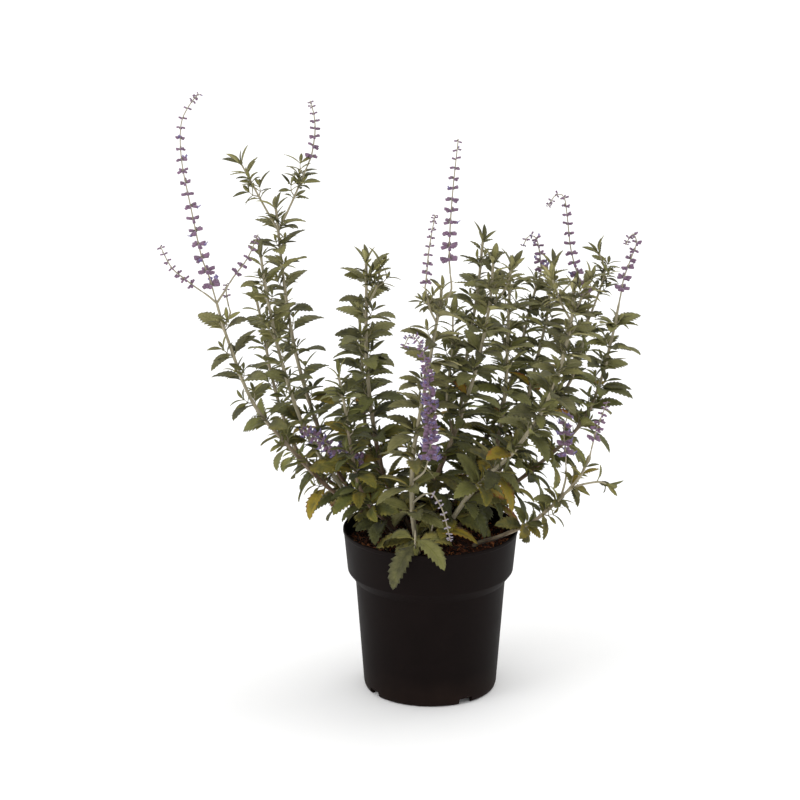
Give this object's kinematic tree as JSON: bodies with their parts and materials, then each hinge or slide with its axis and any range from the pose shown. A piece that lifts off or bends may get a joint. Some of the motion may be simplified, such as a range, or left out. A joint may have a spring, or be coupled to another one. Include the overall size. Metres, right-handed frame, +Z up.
{
  "type": "potted russian sage",
  "caption": "Russian sage in a round nursery pot: arching square grey stems with opposite toothed leaves and slender whorled violet flower spikes, rooted in soil.",
  "frame": {"origin": "centre of the pot's flat underside, on the surface that it stands on", "axes": "+Z up, -Y towards the viewer of the picture, +X to the viewer's right"},
  "size_m": [0.5115, 0.303, 0.6704],
  "materials": {
    "pot": "matte black moulded plastic with a faint sheen on the rim",
    "soil": "dark reddish-brown crumbly coir and bark mix",
    "foliage": "sage green leaves with a grey felt, on pale grey square stems",
    "flower": "dusky violet hairy calyces with violet-blue petals"
  },
  "bodies": {
    "root": {"pot": "pot", "soil": "soil", "stem_left_arch": "foliage", "stem_left_tall": "foliage", "stem_left_pale": "foliage", "stem_left_back": "foliage", "stem_middle": "foliage", "stem_middle_back": "foliage", "stem_left_short": "foliage", "stem_front": "foliage", "stem_centre": "foliage", "stem_centre_right": "foliage", "stem_right_back": "foliage", "stem_right_front": "foliage", "stem_right_arch": "foliage", "stem_right_low": "foliage", "stem_far_right": "foliage", "stem_back": "foliage", "stem_back_right": "foliage", "spike_left_arch": "flower", "spike_left_arch_left": "flower", "spike_left_arch_right": "flower", "spike_left_arch_inner": "flower", "spike_left_tall": "flower", "spike_low_left": "flower", "spike_front_tall": "flower", "spike_front_left": "flower", "spike_front_dense": "flower", "spike_front_drooping": "flower", "spike_right_arch": "flower", "spike_right_low": "flower", "spike_right_low_inner": "flower", "spike_far_right": "flower", "spike_back_right": "flower"}
  },
  "joints": []
}
